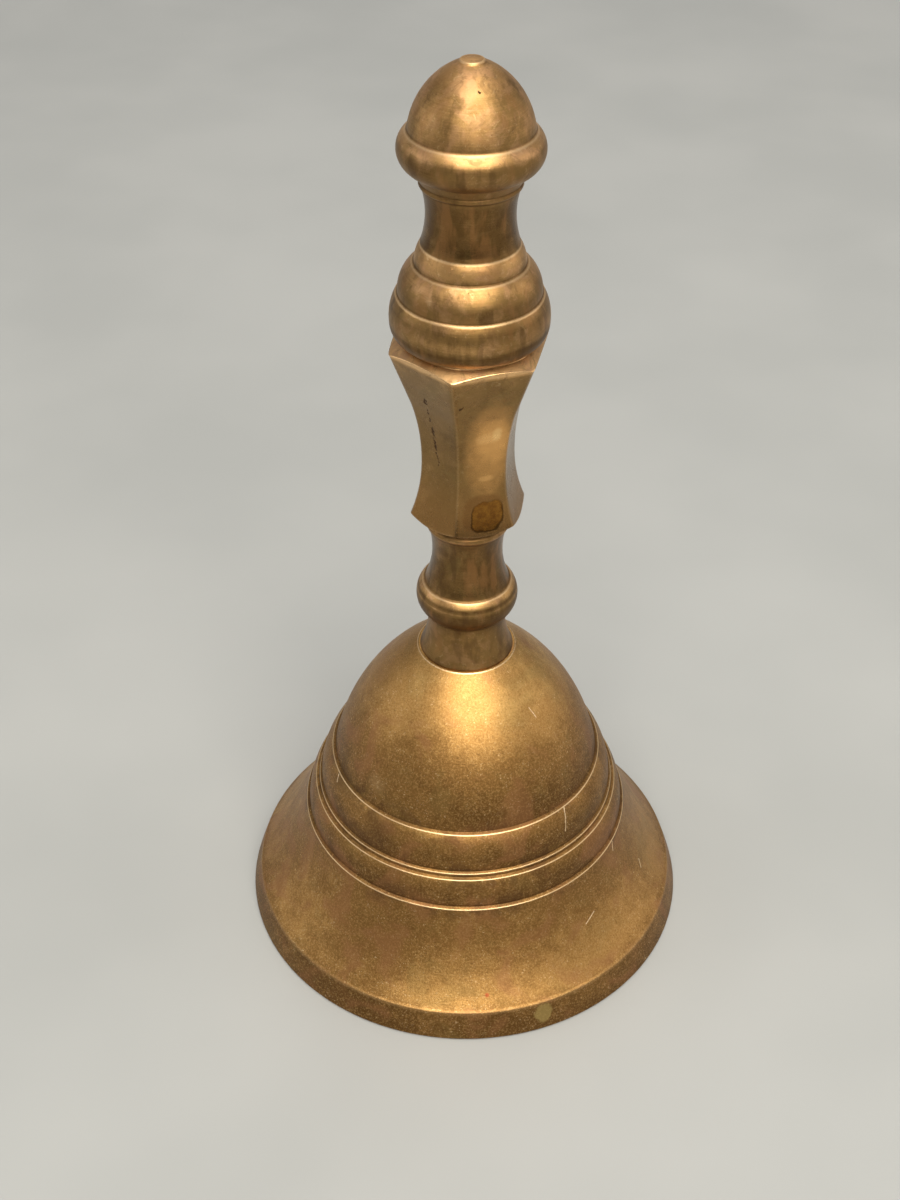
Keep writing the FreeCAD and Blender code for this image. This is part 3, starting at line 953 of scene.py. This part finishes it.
def amber_stain(s, colour):
    """A dried amber stain with a dark rim, low on the side right of the front corner."""
    x, y, z = s.split(s.place)
    dx = s.math("DIVIDE", s.minus(x, STAIN_X), STAIN_HALF_X)
    dz = s.math("DIVIDE", s.minus(z, STAIN_Z), STAIN_HALF_Z)

    def boxy(a, b, power):
        return s.plus(s.math("POWER", s.math("ABSOLUTE", a), power),
                      s.math("POWER", s.math("ABSOLUTE", b), power))

    away = s.plus(boxy(dx, dz, 3.4), s.ramp(s.noise(0.5, 3.0), 0.3, 0.7, -0.35, 0.35, False))
    front = s.times(s.ramp(y, -1.0, -2.0), s.attribute("side"))
    body = s.times(s.ramp(away, 1.05, 0.85), front)
    rim = s.times(s.times(s.ramp(away, 1.25, 1.0), s.ramp(away, 0.6, 0.95)), front)
    rim = s.times(rim, s.ramp(z, STAIN_Z + 2.2, STAIN_Z + 0.6, 0.25, 1.0))
    amber = s.mix(s.ramp(s.noise(0.8, 4.0, 0.65), 0.35, 0.65), (0.18, 0.072, 0.014), (0.30, 0.135, 0.024))
    # a darker brown film spreads above and to the left of it
    film = boxy(s.times(s.plus(dx, 0.35), 0.72), s.times(s.minus(dz, 0.3), 0.80), 3.0)
    film = s.times(s.ramp(film, 1.1, 0.5), front)
    colour = s.tint(colour, (0.20, 0.090, 0.028), film, 0.5)
    colour = s.tint(colour, amber, body, 0.9)
    return s.tint(colour, (0.05, 0.022, 0.006), rim, 0.8)


# ---------------------------------------------------------------- fittings
def fitting_steel():
    """Dull zinc-plated steel, with brown rust starting in the hollows."""
    s = Surface("dull_plated_steel")
    patch = s.noise(0.35, 3.0, 0.6, distort=0.7)
    grain = s.noise(3.0, 4.0, 0.7)
    fine = s.noise(11.0, 2.0, 0.6)
    colour = s.palette(s.ramp(patch, 0.3, 0.7, smooth=False), [
        (0.0, (0.24, 0.225, 0.20)), (0.5, (0.40, 0.385, 0.35)), (1.0, (0.55, 0.54, 0.51))])
    hollow = s.ramp(s.attribute("groove"), 0.6, 0.0)
    rust = s.most(s.ramp(grain, 0.56, 0.66), s.times(hollow, 0.8))
    colour = s.tint(colour, (0.17, 0.075, 0.03), rust, 0.55)
    wear_and_highlight = s.ramp(s.plus(s.attribute("edge"), s.times(grain, 0.2)), 0.35, 0.12)
    colour = s.tint(colour, (0.74, 0.73, 0.70), wear_and_highlight, 0.6)
    rough = s.ramp(patch, 0.3, 0.7, 0.46, 0.30, False)
    rough = s.plus(rough, s.times(rust, 0.25))
    rough = s.plus(rough, s.times(s.minus(fine, 0.5), 0.12))
    return s.finish(colour, rough, s.blend([(grain, 1.0), (fine, 0.5)]), 0.35, 0.00004,
                    s.ramp(rust, 0.0, 1.0, 1.0, 0.55))


def ball_brass():
    """Turned brass, dented and rubbed bright round the middle where it strikes."""
    s = Surface("struck_ball_brass")
    mottle = s.noise(0.5, 4.0, 0.65)
    grain = s.noise(4.0, 4.0, 0.7)
    colour = s.palette(s.ramp(mottle, 0.32, 0.68, smooth=False), [
        (0.0, (0.15, 0.08, 0.03)), (0.5, (0.30, 0.175, 0.065)), (1.0, (0.45, 0.28, 0.11))])
    _, _, z = s.split(s.place)
    band = s.ramp(s.math("ABSOLUTE", s.minus(z, BALL_STRIKES)), 3.6, 1.2)
    band = s.times(band, s.ramp(s.noise(0.9, 3.0, 0.7), 0.40, 0.60, 0.25, 1.0))
    colour = s.tint(colour, (0.76, 0.50, 0.23), band, 0.85)
    dent, pick = s.cells(0.55)
    dent = s.times(s.ramp(dent, 0.5, 0.1), s.ramp(pick, 0.55, 0.7))
    hollow = s.ramp(s.attribute("groove"), 0.8, 0.0)
    colour = s.tint(colour, (0.07, 0.036, 0.014), hollow, 0.7)
    rough = s.ramp(band, 0.0, 1.0, 0.46, 0.28, False)
    rough = s.plus(rough, s.times(s.minus(grain, 0.5), 0.15))
    relief = s.blend([(s.streaks(6.0, 0.02, 3.0), 0.8), (grain, 0.4), (s.times(dent, band), -3.0)])
    return s.finish(colour, rough, relief, 0.35, 0.00006)


# ---------------------------------------------------------------- floor, light and camera
# name, azimuth from the camera, elevation, distance, width, height, watts, colour
PANELS = [
    ("window", 9, 50, 1.2, 1.10, 1.00, 18.5, (1.0, 0.955, 0.86)),
    ("overhead", 0, 82, 1.2, 0.8, 0.8, 4.6, (1.0, 0.97, 0.93)),
    ("side_right", 92, 18, 1.3, 0.9, 0.7, 2.4, (1.0, 0.95, 0.9)),
    ("side_left", -88, 18, 1.3, 0.9, 0.7, 2.1, (0.96, 0.98, 1.0)),
    ("back", 170, 45, 1.4, 0.9, 0.6, 2.0, (1.0, 0.98, 0.95)),
]
# place in metres, angles in degrees, lens in mm
CAMERA_TURN = 12.4
CAMERA_PLACE = (0.0420, -0.2027, 0.2285)
CAMERA_PITCH = 38.70
CAMERA_ROLL = 0.11
CAMERA_LENS = 49.92


def make_floor():
    bpy.ops.mesh.primitive_plane_add(size=5.0, location=(0, 0, -0.00002))
    floor = bpy.context.object
    floor.name = "floor"
    s = Surface("pale_floor")
    shade = s.ramp(s.noise(0.012, 3.0, 0.5), 0.3, 0.7)
    near = s.mix(shade, (0.355, 0.362, 0.352), (0.395, 0.400, 0.388))
    # painted light: the floor grows paler far away, making up for the lamps' falloff
    far = s.ramp(s.distance(s.place), 700.0, 2400.0)
    floor.data.materials.append(s.shade({"Base Color": s.mix(far, near, (0.93, 0.93, 0.92)),
                                         "Roughness": 0.55}))


def facing(azimuth, elevation):
    """A unit vector; azimuth in degrees round from the camera's side."""
    a, e = math.radians(azimuth + CAMERA_TURN), math.radians(elevation)
    return Vector((math.sin(a) * math.cos(e), -math.cos(a) * math.cos(e), math.sin(e)))


def make_world():
    """A pale room, brighter above and below, with a dark card behind the camera: the card keeps
    the middle of each turned form from washing out, and only the brass sees it."""
    world = bpy.data.worlds.new("studio")
    bpy.context.scene.world = world
    world.use_nodes = True
    s = Nodes(world.node_tree)
    look = s.add("TexCoord", {}).outputs["Generated"]
    room = s.palette(s.split(look)[2], [
        (0.0, (0.52, 0.51, 0.50)), (0.35, (0.34, 0.335, 0.33)), (1.0, (0.60, 0.59, 0.58))], "LINEAR")
    card = s.ramp(s.dot(look, facing(0, 6)), 0.74, 0.95, 1.0, 0.08)
    seen = s.mix(s.add("LightPath", {}).outputs["Is Camera Ray"], s.scaled(room, card), (0.60, 0.60, 0.59))
    background = s.add("Background", {"Color": seen, "Strength": 0.8})
    s.add("OutputWorld", {"Surface": background.outputs[0]})


def make_panel(name, azimuth, elevation, distance, width, height, power, colour):
    """A soft rectangular lamp, aimed at the bell."""
    light = bpy.data.lights.new(name, "AREA")
    light.shape = "RECTANGLE"
    light.size, light.size_y = width, height
    light.energy = power
    light.color = colour
    lamp = bpy.data.objects.new(name, light)
    direction = facing(azimuth, elevation)
    lamp.location = Vector((0, 0, 0.06)) + direction * distance
    lamp.rotation_euler = direction.to_track_quat("Z", "Y").to_euler()
    bpy.context.scene.collection.objects.link(lamp)


def make_camera():
    camera = bpy.data.cameras.new("camera")
    camera.lens = CAMERA_LENS
    camera.sensor_width = 36.0
    camera.clip_start = 0.01
    obj = bpy.data.objects.new("camera", camera)
    yaw, pitch, roll = (math.radians(v) for v in (CAMERA_TURN + 0.05, CAMERA_PITCH, CAMERA_ROLL))
    turn = Matrix.Rotation(yaw, 3, "Z")
    forward = turn @ Vector((0, math.cos(pitch), -math.sin(pitch)))
    right = turn @ Vector((1, 0, 0))
    up = right.cross(forward)
    tilted_right = right * math.cos(roll) + up * math.sin(roll)
    tilted_up = up * math.cos(roll) - right * math.sin(roll)
    matrix = Matrix((tilted_right, tilted_up, -forward)).transposed().to_4x4()
    matrix.translation = Vector(CAMERA_PLACE)
    obj.matrix_world = matrix
    bpy.context.scene.collection.objects.link(obj)
    bpy.context.scene.camera = obj


def add_piece(obj, body, node, material):
    obj.data.materials.append(material)
    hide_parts(node)
    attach(obj, body)


steel = fitting_steel()
add_piece(make_shell(), "bell", "bell_body", shell_brass())
add_piece(make_handle(), "bell", "handle", handle_brass())
add_piece(make_eye_bolt(), "bell", "eye_bolt", steel)
add_piece(make_washer(), "bell", "crown_washer", steel)
add_piece(make_lock_nut(), "bell", "lock_nut", steel)
add_piece(make_link(), "link", "clapper_link", steel)
add_piece(make_rod(), "clapper", "clapper_rod", steel)
add_piece(make_ball(), "clapper", "clapper_ball", ball_brass())
make_floor()
make_world()
for panel in PANELS:
    make_panel(*panel)
make_camera()
bpy.context.scene.view_settings.view_transform = "Standard"
